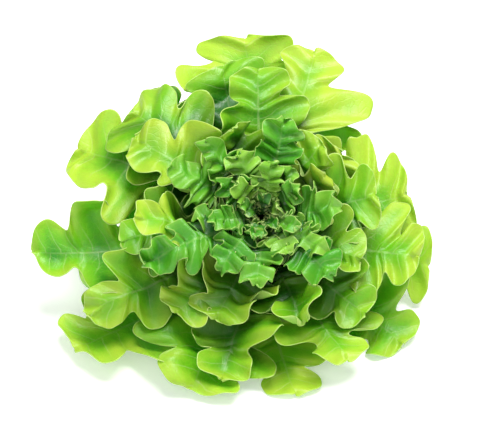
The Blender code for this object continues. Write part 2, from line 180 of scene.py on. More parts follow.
# The whole head is moved so that it stands on the floor over the origin, as the CAD solids are. The move
# is read off the CAD stem, which is this outline turned: distance from the axis and along it, in mm.
CAD_OUTLINE = ((14.2, 0.0), (15.0, 0.8), (7.0, 47.0), (6.0, 48.0))
CAD_TURNS = np.radians(np.arange(24) * 15)
cad_rings = [
    BUTT + (r * (RIGHT * math.cos(turn) + UP * math.sin(turn)) + OUT * z) * MM
    for r, z in CAD_OUTLINE
    for turn in CAD_TURNS
]
shift = np.mean(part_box("stem"), axis=0) - (np.min(cad_rings, axis=0) + np.max(cad_rings, axis=0)) / 2

STEM_AROUND = 96
STEM_ROUGHNESS = 0.38
STEM_FLESH = (0.50, 0.56, 0.22)
STEM_GREEN = (0.28, 0.42, 0.09)
CUT_CREAM = (0.74, 0.68, 0.42)
CUT_BROWN = (0.33, 0.15, 0.055)
PITH_GREEN = (0.62, 0.64, 0.34)
# Where one colour goes over to the next: up the side, outwards on the cut, and over its edge, in mm.
SIDE_GREENING = (4.0, 34.0)
PITH_EDGE = (4.5, 6.5)
BROWN_RING = (9.5, 12.6)
CUT_EDGE = (0.25, 0.9)
# Height of the scars' ridges, the part of the side that has them, in mm from the cut, and the height
# of the waves on the cut face.
SCAR_HEIGHT = 0.35 * MM
SCARRED = (2.0, 46.0)
CUT_WAVE = 0.12 * MM

stem_material, bench, shader = new_material("stem_flesh")
along, ring = bench.carried("along_mm"), bench.carried("from_axis_mm")
place = bench.node("ShaderNodeTexCoord", output=3)
mottle = bench.noise(place, 160.0, 4.0)
fibres = bench.noise(place, 700.0)
side = bench.mix(bench.ramp(along + mottle * 10, *SIDE_GREENING), STEM_FLESH, STEM_GREEN)
wet = ring + mottle * 3.0 - 1.5
browned = bench.ramp(wet, *BROWN_RING) * (1 - 0.55 * bench.ramp(fibres, 0.45, 0.7))
face = bench.mix(browned, CUT_CREAM, CUT_BROWN)
pith = bench.mix(bench.ramp(wet, *PITH_EDGE), PITH_GREEN, face)
on_cut = 1 - bench.ramp(along, *CUT_EDGE)
raised = {"Strength": 0.35, "Distance": 0.6 * MM, "Height": fibres + mottle}
bump = bench.node("ShaderNodeBump", None, raised)
bench.feed(shader, {"Base Color": bench.mix(on_cut, side, pith), "Normal": bump})
shader.inputs["Roughness"].default_value = STEM_ROUGHNESS

# Columns: distance from the axis and along it, in mm.
stem_outline = [(r, 0.0) for r in (0.0, 2.0, 4.0, 6.0, 8.0, 10.0, 12.0, 13.3, 14.0)]
stem_outline += [(14.5, 0.2), (14.85, 0.5)]
(widest, side_start), (narrowest, side_end) = CAD_OUTLINE[1:3]
for z in np.linspace(0.9, 46.5, 60):
    stem_outline.append((widest - (widest - narrowest) * (z - side_start) / (side_end - side_start), z))
stem_outline += [(6.9, 47.0), (6.5, 47.6), (5.5, 47.95), (3.0, 48.0), (0.0, 48.0)]
points = []
for r, z in stem_outline:
    for k in range(STEM_AROUND):
        turn = 2 * math.pi * k / STEM_AROUND
        scarred = SCARRED[0] < z < SCARRED[1]
        scar = math.sin(3 * turn + z * 0.55) * math.sin(2 * turn - z * 0.8 + 1.0) * scarred
        sunk_in = SCAR_HEIGHT * (1 - scar) / 2 * scarred
        cut_wave = CUT_WAVE * (1 + math.sin(2 * turn + r * 0.6)) * (z == 0.0) * min(r / 4, 1) * (r < 14)
        across = RIGHT * math.cos(turn) + UP * math.sin(turn)
        points.append(tuple(BUTT + shift + across * (r * MM - sunk_in) + OUT * (z * MM + cut_wave)))
faces = ring_faces(len(stem_outline), STEM_AROUND)
from_axis_mm, along_mm = np.repeat(stem_outline, STEM_AROUND, axis=0).T
measures = {"along_mm": along_mm, "from_axis_mm": from_axis_mm}
stem = piece("cut_stem", points, faces, stem_material, measures)
skin = bmesh.new()
skin.from_mesh(stem.data)
bmesh.ops.remove_doubles(skin, verts=skin.verts, dist=1e-6)
bmesh.ops.recalc_face_normals(skin, faces=skin.faces)
skin.to_mesh(stem.data)
skin.free()
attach(stem, "root")
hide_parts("stem")


# The outer leaves.
# Fourteen big leaves in a spiral on the lower stem: a thick pale rib, a narrow winged stalk, and a thin
# blade with deep round lobes. The oldest droop on the floor, and each younger one lies over them.

# The stem inside the head, and the core of the heart on top of it, measured along the axis from the cut.
STEM_TOP = 48.0 * MM
STEM_TOP_RADIUS = 7.0 * MM
CORE_TOP = 78.0 * MM
CORE_TOP_RADIUS = 1.5 * MM
# Room left round a leaf.
CLEAR = 0.4 * MM

# Where the leaves stand on the stem.
SEED = 217
GOLDEN_ANGLE = 137.508
FIRST_AZIMUTH = 84.0
OUTER_LEAVES = 14
LOOSE_LEAVES = 32
LEAVES = 58

# How far the outer leaves reach from the axis, by azimuth in degrees, seen from the heart's side.
SPREAD = (
    (5, 128), (30, 108), (47, 104), (62, 120), (74, 160), (84, 164), (100, 134), (110, 140),
    (125, 154), (141, 146), (156, 152), (172, 132), (186, 148), (196, 184), (206, 210), (222, 172),
    (245, 150), (262, 154), (282, 134), (300, 152), (325, 154), (338, 146), (350, 138),
)

ALL_ROUND = tuple((azimuth + turn, reach) for turn in (-360, 0, 360) for azimuth, reach in SPREAD)

# How far a leaf may differ from its neighbours in azimuth, reach and width.
AZIMUTH_SHIFTS = (-10.0, 10.0)
REACH_SHARES = (0.9, 1.06)
WIDTH_SHARES = (0.85, 1.15)

# Layers of leaves, outermost first. One leaf stands in each of the layers from 0.
# Columns: layer, root along the stem, angle from the axis at root and tip, length over which it bends,
# height that it keeps above the floor.
LAYERS = (
    (-8, 3, 64, 118, 165, 1.0),
    (0, 7, 58, 108, 160, 4.5),
    (14, 24, 36, 90, 125, 19),
    (31, 42, 10, 70, 80, 40),
    (32, 51, 6, 58, 78, 41),
    (57, 74, 2, 24, 36, 62),
    (85, 88, 0.5, 15, 20, 80),
)
# The distance from the root that the layers run to.
LAST_REACH = 240.0 * MM
# How far a leaf bends on, as a share of its bending length, and the power by which the bend grows.
MOST_BENT = 1.15
BEND_POWER = 1.3
# How it is turned along the floor: height over which it is slowed, sharpness of the turn, least angle.
FLOOR_SLOWING = 30.0 * MM
FLOOR_SHARPNESS = 8
LEAST_ANGLE = 0.02
# The layers' steps, from the root outwards and round the axis in degrees.
STEPS = 80
AZIMUTH_STEP = 5

# Reach of the leaves as a share of the spread.
REACHES = (
    (0, 1.0), (13, 0.92), (14, 0.82), (25, 0.66), (26, 0.61), (31, 0.55), (32, 0.50), (45, 0.26),
    (57, 0.05),
)

# Blade and rib sizes by leaf.
WIDTHS = ((0, 120), (13, 110), (14, 95), (25, 78), (31, 64), (32, 58), (45, 38), (57, 14))
RIB_HALF_WIDTHS = ((0, 7.0), (31, 3.6), (57, 1.4))
RIB_HALF_THICKNESSES = ((0, 1.6), (31, 0.9), (57, 0.6))
BLADE_HALF_THICKNESS = 0.36 * MM
RIB_TAPER = 0.8
STALK_EDGE_SHARE = 0.6
TIP_HALF_WIDTH = 1.2 * MM
STALK_SHARE = 0.36
NOTCH_SHARE = 0.78
VEIN_SLOPE = 0.5
NOTCH_SLOWING = 0.4
TERMINAL_TURNS = (math.radians(-25), math.radians(90))
LOOSE_LOBES = 2
HEART_LOBES = 3
LOBE_SIZES = (0.82, 1.15)
LOWEST_LOBE = 0.8
LOWEST_WAIST = 0.75
TERMINAL_SWELL = 0.55
WAISTS = (0.22, 0.42)
WING = 0.3
LOBE_ROUNDNESS = 0.6

# How freely the leaves bend, in degrees: cupping across, curl of lobes and notches, twist, sway.
CUPS = (-35.0, 30.0)
LOBE_CURLS = (-45.0, 110.0)
NOTCH_CURLS = (-25.0, 45.0)
HEART_LOBE_CURLS = (40.0, 150.0)
HEART_NOTCH_CURLS = (-90.0, 0.0)
TWISTS = (-22.0, 22.0)
SWAYS = (-12.0, 12.0)
# How far a leaf's tip nods out of its layer, in mm.
NODS = (-26.0, 16.0)
# How the curl grows towards the edge, and the share of it at the lobe of the tip.
CURL_POWER = 1.3
TIP_CURL = 0.3
# Shares of the length between which a leaf goes over from a straight stalk to a freely bent blade.
BLADE_STARTS = (0.12, 0.42)

# How a leaf is laid: most layers that it may cross, how far it is raised where it meets another leaf,
# and the least radius and room between layers that its folds are measured by.
LAYERS_CROSSED = (-9, 20)
LEAST_RADIUS = 6.0 * MM
LEAST_ROOM = 0.3 * MM
LIFT = 0.8
MOST_LIFTS = 30
# Each leaf has the first of these shares of its folds at which it hardly crosses itself, judged by the
# number of crossing triangles.
EASES = (1.0, 0.85, 0.7, 0.55, 0.4, 0.25)
MOST_FOLDED = 14
# Leaves that fold over their own notches, and the largest share of their folds that they are given.
MOST_EASES = {4: 0.4}

# Heart leaves stand in the core with their roots this near the axis, as a share of the distance.
SUNK = 0.25

# Grids of the leaves: share of a lobe from one row to the next, and columns to a side.
LOOSE_GRID = (0.25, 2)
HEART_GRID = (0.25, 3)
STALK_ROWS = 0.75
# The map of what lies under a leaf, by distance from the root and by azimuth.
MAP_STEP = 3.0 * MM
MAP_TURN = 3.0
MAP_SHAPE = (int(LAST_REACH / MAP_STEP) + 1, int(360 / MAP_TURN))
# How much denser than its grid a leaf is drawn on the map, and how many cells it is spread.
MAP_DENSITY = (8, 8)
MAP_SPREAD = 2


def along_table(table, at, column=1):
    """A value read off a table of rows, between its rows."""
    return np.interp(at, [row[0] for row in table], [row[column] for row in table])


def between(ends, share):
    """A value part of the way from ends[0] to ends[1]."""
    return ends[0] + (ends[1] - ends[0]) * share


def raised_at(turn):
    """How far along the veins' starts a point of a round lobe lies, for a radius of 1."""
    return np.sin(turn) - VEIN_SLOPE * np.cos(turn)


def stem_radius(along):
    """Radius of the stem and of the heart's core at a distance from the cut."""
    return np.interp(along, (0.0, STEM_TOP, CORE_TOP), (BUTT_RADIUS, STEM_TOP_RADIUS, CORE_TOP_RADIUS))


def between_cells(table, *at):
    """A table read between its cells. The last of the axes goes all the way round."""
    total = 0.0
    for corner in np.ndindex(*[2] * len(at)):
        cell = [np.floor(k).astype(int) + d for k, d in zip(at, corner)]
        cell[-1] = cell[-1] % table.shape[len(at) - 1]
        part = table[tuple(cell)]
        weight = math.prod(1 - abs(d - k % 1) for k, d in zip(at, corner))
        total = total + (weight[..., None] if part.ndim > weight.ndim else weight) * part
    return total


class Head:
    """Where the layers run: distance from the axis and along it, by layer, distance and azimuth."""

    def __init__(self):
        self.first = LAYERS[0][0]
        layer = np.arange(self.first, LAYERS[-1][0] + 1)[:, None]
        azimuth = np.radians(np.arange(0, 360, AZIMUTH_STEP))[None, :]
        root, at_root, at_tip, bending, gap = (along_table(LAYERS, layer, k) for k in range(1, 6))
        thickness = along_table(RIB_HALF_THICKNESSES, layer)
        r = stem_radius(root * MM) + CLEAR + thickness * MM + 0 * azimuth
        z = root * MM + 0 * azimuth
        sink = np.sin(azimuth) * math.cos(AXIS_LEAN)
        amplitude = np.hypot(sink, math.sin(AXIS_LEAN))
        level = np.arctan2(sink, math.sin(AXIS_LEAN))
        step = LAST_REACH / STEPS
        table = []
        for s in np.arange(STEPS + 1) * step:
            table.append(np.stack([r, z], axis=-1))
            bent = np.minimum(s / (bending * MM), MOST_BENT) ** BEND_POWER
            free = np.radians(at_root + (at_tip - at_root) * bent)
            height = BUTT_HEIGHT + z * math.sin(AXIS_LEAN) + r * sink
            slope = (gap * MM - height) / FLOOR_SLOWING
            limit = level + np.arccos(np.clip(slope / amplitude, -1, 1))
            limit = np.maximum(limit, LEAST_ANGLE)
            angle = (free**-FLOOR_SHARPNESS + limit**-FLOOR_SHARPNESS) ** (-1 / FLOOR_SHARPNESS)
            r = r + np.sin(angle) * step
            z = z + np.cos(angle) * step
        self.table = np.stack(table, axis=1)
        self.step = step
        d_layer = np.gradient(self.table, axis=0)
        d_s = np.gradient(self.table, axis=1)
        cross = d_layer[..., 1] * d_s[..., 0] - d_layer[..., 0] * d_s[..., 1]
        self.room = cross / np.linalg.norm(d_s, axis=-1)

    def read(self, table, layer, s, azimuth):
        """A table read at layers, distances and azimuths in degrees."""
        i = np.clip(layer - self.first, 0, table.shape[0] - 1.001)
        j = np.clip(s / self.step, 0, table.shape[1] - 1.001)
        return between_cells(table, i, j, (azimuth % 360) / AZIMUTH_STEP)

    def place(self, layer, s, azimuth):
        """Points in the room."""
        r, z = np.moveaxis(self.read(self.table, layer, s, azimuth), -1, 0)
        turn = np.radians(azimuth)
        flat = np.stack([r * np.cos(turn), r * np.sin(turn), z], axis=-1)
        return BUTT + flat @ np.array([RIGHT, UP, OUT])


class Leaf:
    """One leaf. Its surface is a grid: rows run from root to tip, columns from edge to edge."""

    def __init__(self, order, head, draw):
        self.order = order
        self.heart = order >= LOOSE_LEAVES
        self.step, across = HEART_GRID if self.heart else LOOSE_GRID
        self.u = np.linspace(-1, 1, 2 * across + 1)[None, :]
        self.azimuth = FIRST_AZIMUTH + GOLDEN_ANGLE * order + draw.uniform(*AZIMUTH_SHIFTS)
        spread = along_table(ALL_ROUND, self.azimuth % 360)
        self.reach = spread * along_table(REACHES, order) * draw.uniform(*REACH_SHARES) * MM
        self.lobes = HEART_LOBES if self.heart else LOOSE_LOBES
        self.width = along_table(WIDTHS, order) * draw.uniform(*WIDTH_SHARES) * MM
        self.rib_half_width = along_table(RIB_HALF_WIDTHS, order) * MM
        self.rib_half_thickness = along_table(RIB_HALF_THICKNESSES, order) * MM
        self.sway = draw.uniform(*SWAYS)
        self.twist = draw.uniform(*TWISTS)
        self.nod = draw.uniform(*NODS)
        self.cup = draw.uniform(*CUPS)
        self.lobe_sizes = draw.uniform(*LOBE_SIZES, size=(2, self.lobes))
        self.waists = draw.uniform(*WAISTS, size=self.lobes) * np.linspace(LOWEST_WAIST, 1.0, self.lobes)
        sides = (2, self.lobes + 1)
        self.lobe_curls = draw.uniform(*(HEART_LOBE_CURLS if self.heart else LOBE_CURLS), size=sides)
        self.notch_curls = draw.uniform(*(HEART_NOTCH_CURLS if self.heart else NOTCH_CURLS), size=sides)
        marks = np.arange(0, LAST_REACH, MM)
        same = np.ones(marks.shape)
        r = head.read(head.table, same * order, marks, same * (self.azimuth + self.sway))[:, 0]
        self.length = np.interp(self.reach, r, marks)

    def rows(self):
        """Row numbers: below 0 on the stalk, 1 for each side lobe and a half for the lobe at the tip."""
        stalk = np.linspace(-1, 0, 1 + max(1, round(STALK_ROWS / self.step)))[:-1]
        side = np.arange(0, self.lobes - 1e-6, self.step)
        return np.concatenate([stalk, side, self.lobes + np.arange(0, 0.5 + 1e-6, self.step / 2)])

    def vein_starts(self, rows):
        """Where rows leave the rib, from the root: slow past the notches, fast past the lobes."""
        t = rows - np.floor(rows)
        slowing = NOTCH_SLOWING * np.sin(2 * np.pi * t) / (2 * np.pi)
        number = np.clip(np.floor(rows), 0, self.lobes) + t - slowing
        last = NOTCH_SHARE * self.length
        share = np.minimum(number, self.lobes) / self.lobes
        starts = self.length * between((STALK_SHARE, NOTCH_SHARE), share)
        starts[rows < 0] = STALK_SHARE * self.length * (rows[rows < 0] + 1)
        turn = between(TERMINAL_TURNS, 2 * np.clip(rows - self.lobes, 0, 0.5))
        lowest = raised_at(TERMINAL_TURNS[0])
        share = (raised_at(turn) - lowest) / (1 - lowest)
        return np.where(rows >= self.lobes, last + (self.length - last) * share, starts)

    def half_widths(self, rows, side):
        """How far the edge is from the rib, along each vein."""
        wing = self.width / 2 * WING
        stalk = between((self.rib_half_width, wing), np.clip(rows + 1, 0, 1))
        notches = np.array([wing, *(self.width / 2 * self.waists)])
        tips = self.width / 2 * self.lobe_sizes[side] * np.linspace(LOWEST_LOBE, 1.0, self.lobes)
        lobe = np.clip(np.floor(rows).astype(int), 0, self.lobes - 1)
        t = np.clip(rows - lobe, 0, 1)
        notch = between((notches[lobe], notches[lobe + 1]), t)
        lobed = notch + (tips[lobe] - notch) * np.sin(np.pi * t) ** LOBE_ROUNDNESS
        turn = between(TERMINAL_TURNS, 2 * np.clip(rows - self.lobes, 0, 0.5))
        swell = 1 + TERMINAL_SWELL * np.sin(2 * np.pi * np.clip(rows - self.lobes, 0, 0.5))
        terminal = notches[-1] * np.cos(turn) / math.cos(TERMINAL_TURNS[0]) * swell + TIP_HALF_WIDTH
        return np.where(rows < 0, stalk, np.where(rows < self.lobes, lobed, terminal))

    def spread_flat(self, rows):
        """How far each grid point is from the rib along its vein, below 0 on the left."""
        return self.u * np.where(self.u < 0, *(self.half_widths(rows, k)[:, None] for k in (0, 1)))

    def curl(self, rows, side):
        """Degrees that the blade turns up, or down, between the rib and its edge, by row."""
        marks, turns = [-1.0, -0.2], [0.0, 0.0]
        for lobe in range(self.lobes):
            marks += [lobe, lobe + 0.5]
            turns += [self.notch_curls[side][lobe] * (lobe > 0), self.lobe_curls[side][lobe]]
        marks += [self.lobes, self.lobes + 0.5]
        turns += [self.notch_curls[side][self.lobes], TIP_CURL * self.lobe_curls[side][self.lobes]]
        return np.interp(rows, marks, turns)

    def half_thickness(self, rows):
        """Half the leaf's thickness at each grid point: thick along the rib, thin at the edge."""
        taper = np.clip(1 - self.vein_starts(rows) / self.length, 0, 1) ** RIB_TAPER
        rib = BLADE_HALF_THICKNESS + (self.rib_half_thickness - BLADE_HALF_THICKNESS) * taper
        grid = np.full((len(rows), self.u.size), BLADE_HALF_THICKNESS)
        grid[rows < 0] = rib[rows < 0, None] * STALK_EDGE_SHARE
        grid[:, self.u.size // 2] = rib
        return grid

    def drawn(self):
        """The rows, and how far each grid point is from the root, the rib and the leaf's layer."""
        rows = self.rows()
        u, left = np.abs(self.u), self.u < 0
        x = np.abs(self.spread_flat(rows))
        starts = self.vein_starts(rows)[:, None]
        curls = np.where(left, *(self.curl(rows, side)[:, None] for side in (0, 1)))
        blade = np.clip((starts / self.length - BLADE_STARTS[0]) / np.ptp(BLADE_STARTS), 0, 1)
        turn = np.radians(self.cup * u + curls * u**CURL_POWER) * blade
        turn = np.where(np.abs(turn) < 1e-4, 1e-4, turn)
        aside = x * np.sin(turn) / turn
        s = starts + VEIN_SLOPE * aside * np.clip(rows + 1, 0, 1)[:, None]
        aside = aside * np.where(left, -1, 1)
        lift = x * (1 - np.cos(turn)) / turn + aside * math.tan(math.radians(self.twist)) * blade
        lift += self.nod * MM * (s / self.length) ** 2
        return rows, s, aside, lift


def triangles(shape):
    """Triangles over a grid of points, mirrored about the rib, with normals that face the heart."""
    rows, columns = shape[:2]
    found = []
    for r in range(rows - 1):
        for c in range(columns - 1):
            a, b = r * columns + c, r * columns + c + 1
            d, e = a + columns, b + columns
            if 2 * c < columns - 1:
                found += [(a, d, b), (b, d, e)]
            else:
                found += [(a, e, b), (a, d, e)]
    return np.array(found)


def finer(grid, times, smooth=True):
    """A grid with more values between its own, along and across, on smooth curves or straight lines."""
    for axis in (0, 1):
        grid = np.moveaxis(grid, axis, 0)
        ends = np.concatenate([2 * grid[:1] - grid[1:2], grid, 2 * grid[-1:] - grid[-2:-1]])
        at = np.linspace(0, len(grid) - 1, (len(grid) - 1) * times[axis] + 1)
        low = np.minimum(at.astype(int), len(grid) - 2)
        t = (at - low).reshape(-1, *[1] * (grid.ndim - 1))
        a, b, c, d = (ends[low + k] for k in range(4))
        curve = 2 * b + (c - a) * t + (2 * a - 5 * b + 4 * c - d) * t**2 + (3 * b - a - 3 * c + d) * t**3
        grid = np.moveaxis(curve / 2 if smooth else b * (1 - t) + c * t, 0, axis)
    return grid


class Blade:
    """A leaf laid on those outside it."""

    def __init__(self, leaf, head, cover, outside):
        self.leaf = leaf
        rows, s, aside, lift = leaf.drawn()
        self.half = leaf.half_thickness(rows)
        self.faces = triangles(s.shape)
        self.corners = self.all_faces() % self.half.size
        for ease in EASES:
            if ease > MOST_EASES.get(leaf.order, 1.0):
                continue
            self.lay(lift * ease, s, aside, head, cover, outside)
            if not self.folded():
                break
        cover.add(self.top, s, self.azimuth)
        if leaf.heart:
            self.grid[0] = sunk(self.grid[0])

    def lay(self, lift, s, aside, head, cover, outside):
        """Lays the blade over what is filled so far, and raises it where it crosses a leaf outside it."""
        leaf = self.leaf
        layer = np.full(s.shape, float(leaf.order))
        azimuth = leaf.azimuth + leaf.sway * s / leaf.length
        r = head.read(head.table, layer, s, azimuth)[..., 0]
        azimuth = azimuth + np.degrees(aside / np.maximum(r, LEAST_RADIUS))
        room = np.maximum(head.read(head.room, layer, s, azimuth), LEAST_ROOM)
        most = np.where(lift > 0, LAYERS_CROSSED[1], -LAYERS_CROSSED[0])
        layer = layer + most * np.tanh(lift / room / most)
        layer = np.maximum(layer, cover.under(s, azimuth) + (self.half + CLEAR) / room)
        layer = np.maximum(layer, LAYERS[0][0] + 1.0)
        self.stand(head.place(layer, s, azimuth))
        for _ in range(MOST_LIFTS):
            crossed = self.crossed(outside)
            if not crossed:
                break
            raised = np.zeros(layer.size)
            raised[crossed] = LIFT
            layer = layer + spread_out(raised.reshape(layer.shape))
            self.stand(head.place(layer, s, azimuth))
        self.top = layer + self.half / room
        self.azimuth = azimuth

    def stand(self, grid):
        """Puts the blade at these points, all above the floor, with half the clearance round its tree."""
        grid[..., 2] = np.maximum(grid[..., 2], self.half + CLEAR)
        self.grid = grid
        self.tree = self.tree_of(CLEAR / 2)

    def folded(self):
        """Whether the blade crosses itself at more than a few of its triangles."""
        tree = self.tree_of(0.0)
        corners = [set(face) for face in self.all_faces().tolist()]
        return sum(a < b and not corners[a] & corners[b] for a, b in tree.overlap(tree)) > MOST_FOLDED

    def crossed(self, outside):
        """Numbers of the grid points where the blade crosses one of those outside it."""
        found = set()
        for other in outside:
            for mine, _ in self.tree.overlap(other.tree):
                found.update(self.corners[mine].tolist())
        return sorted(found)

    def tree_of(self, growth):
        """The blade with its thickness, both faces and the rim, for finding what it crosses."""
        points = self.grid.reshape(-1, 3)
        a, b, c = (points[self.faces[:, k]] for k in range(3))
        normals = np.zeros_like(points)
        for corner in range(3):
            np.add.at(normals, self.faces[:, corner], np.cross(b - a, c - a))
        normals /= np.linalg.norm(normals, axis=1, keepdims=True)
        offset = normals * (self.half.reshape(-1, 1) + growth)
        points = np.concatenate([points + offset, points - offset])
        return BVHTree.FromPolygons(points.tolist(), self.all_faces().tolist())

    def all_faces(self):
        """Triangles of the side towards the heart, of the other side and of the rim between them."""
        rows, columns = self.half.shape
        count = rows * columns
        number = np.arange(count).reshape(rows, columns)
        rim = np.concatenate([number[0, :-1], number[:-1, -1], number[-1, :0:-1], number[:0:-1, 0]])
        after = np.roll(rim, -1)
        low = np.stack([rim, after, count + after], axis=1)
        high = np.stack([rim, count + after, count + rim], axis=1)
        return np.concatenate([self.faces, count + self.faces[:, ::-1], low, high])


def sunk(points):
    """Points moved in towards the axis, to stand inside the core."""
    along = (points - BUTT) @ OUT
    foot = BUTT + along[:, None] * OUT
    return foot + (points - foot) * SUNK


def spread_out(grid):
    """A grid of values, each passed on to its neighbours by half."""
    padded = np.pad(grid, 1)
    beside = np.max([padded[:-2, 1:-1], padded[2:, 1:-1], padded[1:-1, :-2], padded[1:-1, 2:]], axis=0)
    return np.maximum(grid, beside / 2)


class Cover:
    """The map of the innermost layer that is filled so far."""

    def __init__(self):
        self.top = np.full(MAP_SHAPE, float(LAYERS[0][0]))
        self.spread = self.top

    def under(self, s, azimuth):
        """The filled layer at points, read between the cells."""
        i = np.clip(s / MAP_STEP, 0, MAP_SHAPE[0] - 1.001)
        return between_cells(self.spread, i, azimuth / MAP_TURN)

    def add(self, layer, s, azimuth):
        """Fills the map up to a leaf's layers, and a little round them."""
        layer, s, azimuth = (finer(grid, MAP_DENSITY, smooth=False) for grid in (layer, s, azimuth))
        i = np.clip(np.round(s / MAP_STEP).astype(int), 0, MAP_SHAPE[0] - 1)
        k = np.round(azimuth / MAP_TURN).astype(int) % MAP_SHAPE[1]
        np.maximum.at(self.top, (i, k), layer)
        spread = self.top
        for _ in range(MAP_SPREAD):
            spread = np.max([spread] + [np.roll(spread, k, axis=1) for k in (-1, 1)], axis=0)
            up = np.concatenate([spread[1:], spread[-1:]])
            down = np.concatenate([spread[:1], spread[:-1]])
            spread = np.max([spread, up, down], axis=0)
        for axis in (0, 1):
            spread = (np.roll(spread, 1, axis) + 2 * spread + np.roll(spread, -1, axis)) / 4
        self.spread = spread


# How much softer the folds are made, by column from edge to edge, and how often.
IRONED = np.array([0.7, 1.2, 0.5, 1.2, 0.7])
IRONINGS = 2


def unit(vectors):
    return vectors / (np.linalg.norm(vectors, axis=-1, keepdims=True) + 1e-9)


def ironed(grid):
    """The blade with its cross folds made softer, most of all between the rib and the margin."""
    normal = unit(np.cross(np.gradient(grid, axis=0), np.gradient(grid, axis=1)))
    smooth = grid.copy()
    smooth[1:-1] = (grid[:-2] + 2 * grid[1:-1] + grid[2:]) / 4
    height = ((smooth - grid) * normal).sum(axis=-1, keepdims=True)
    return grid + normal * height * IRONED[None, :, None]


def outline_arcs(grid):
    """Length along the margin from the tip, at each row and side, spread over the columns."""
    columns = grid.shape[1]
    arcs = []
    for column in (0, -1):
        steps = np.linalg.norm(np.diff(grid[:, column], axis=0), axis=-1)
        arcs.append(np.concatenate([np.cumsum(steps[::-1])[::-1], [0.0]]))
    left = np.arange(columns)[None, :] < columns // 2
    return np.where(left, arcs[0][:, None], arcs[1][:, None])


def from_margin(x, y):
    """Distance of every point of the flat leaf from its outline."""
    columns = x.shape[1]
    rim = np.concatenate([np.stack([x[:, c], y[:, c]], axis=1) for c in (0, columns - 1)])
    flat_points = np.stack([x.ravel(), y.ravel()], axis=1)
    away = np.linalg.norm(flat_points[:, None] - rim[None], axis=-1)
    return away.min(axis=1).reshape(x.shape)


# Half the thickness of the blade, and the rib's width at the tip as a share of its width at the root.
THINNEST = 0.3 * MM
RIB_TIP = 0.25
# Rows between which the stalk becomes a blade, with frills and scallops.
BLADE_ROWS = (-0.35, 0.35)
# The scallops' first turns, their second wave (share, speed, first turn) and how fast they die out.
FIRST_TURNS = (0, 9)
SECOND_WAVE = (0.6, 0.62, 1.3)
SCALLOP_POWER = 6


def sheet(blade, draw, times, scallop):
    """The leaf as one fine sheet of points, and the numbers that its finish and its frills read."""
    leaf = blade.leaf
    rows = leaf.rows()
    x = leaf.spread_flat(rows)
    flat = np.stack([x, leaf.vein_starts(rows)[:, None] + 0 * x, rows[:, None] + 0 * x], axis=-1)
    x, start, row = np.moveaxis(finer(flat, times), -1, 0)
    coarse = blade.grid
    for _ in range(0 if leaf.heart else IRONINGS):
        coarse = ironed(coarse)
    grid = finer(coarse, times)
    arc = outline_arcs(grid)
    margin = from_margin(x, start + VEIN_SLOPE * np.abs(x))
    blade_part = np.clip((row - BLADE_ROWS[0]) / np.ptp(BLADE_ROWS), 0, 1)
    # The margin is scalloped in the plane of the blade.
    u = np.linspace(-1, 1, grid.shape[1])[None, :]
    outward = unit(np.gradient(grid, axis=1) * np.sign(u)[..., None])
    turn = draw.uniform(*FIRST_TURNS) + arc / scallop[0] * 2 * np.pi
    share, speed, first = SECOND_WAVE
    waves = np.sin(turn) + share * np.sin(turn * speed + first)
    grid = grid + outward * (scallop[1] * waves * np.abs(u) ** SCALLOP_POWER * blade_part)[..., None]
    taper = np.clip(1 - start / leaf.length, 0, 1) ** RIB_TAPER
    width = np.maximum(leaf.rib_half_width * between((RIB_TIP, 1.0), taper), MM)
    rib = (leaf.rib_half_thickness - THINNEST) * taper * np.exp(-((x / width) ** 2) * 2)
    floats = {"x_mm": x / MM, "start_mm": start / MM, "arc_mm": arc / MM, "margin_mm": margin / MM}
    floats |= {"share": start / leaf.length, "blade_part": blade_part, "half_mm": (THINNEST + rib) / MM}
    return grid, floats


# The noise that makes the frills uneven: how far apart in it the sides and the leaves are, its shift of
# the waves and its change of their size.
SIDES_APART, LEAVES_APART = 37.0, 1.7
DRIFT_SCALE, DRIFT = 0.35, 2.2
SIZE_SCALE, SIZE_GAIN, SIZE_LOSS = 0.8, 1.8, 0.1
PUCKER_SCALE = 0.11
# The tree's inputs that are numbers: lengths and depths in mm, heights in metres.
INPUTS = ("Frill height", "Frill length", "Frill depth", "Pucker height", "Rounding", "Seed", "Floor")


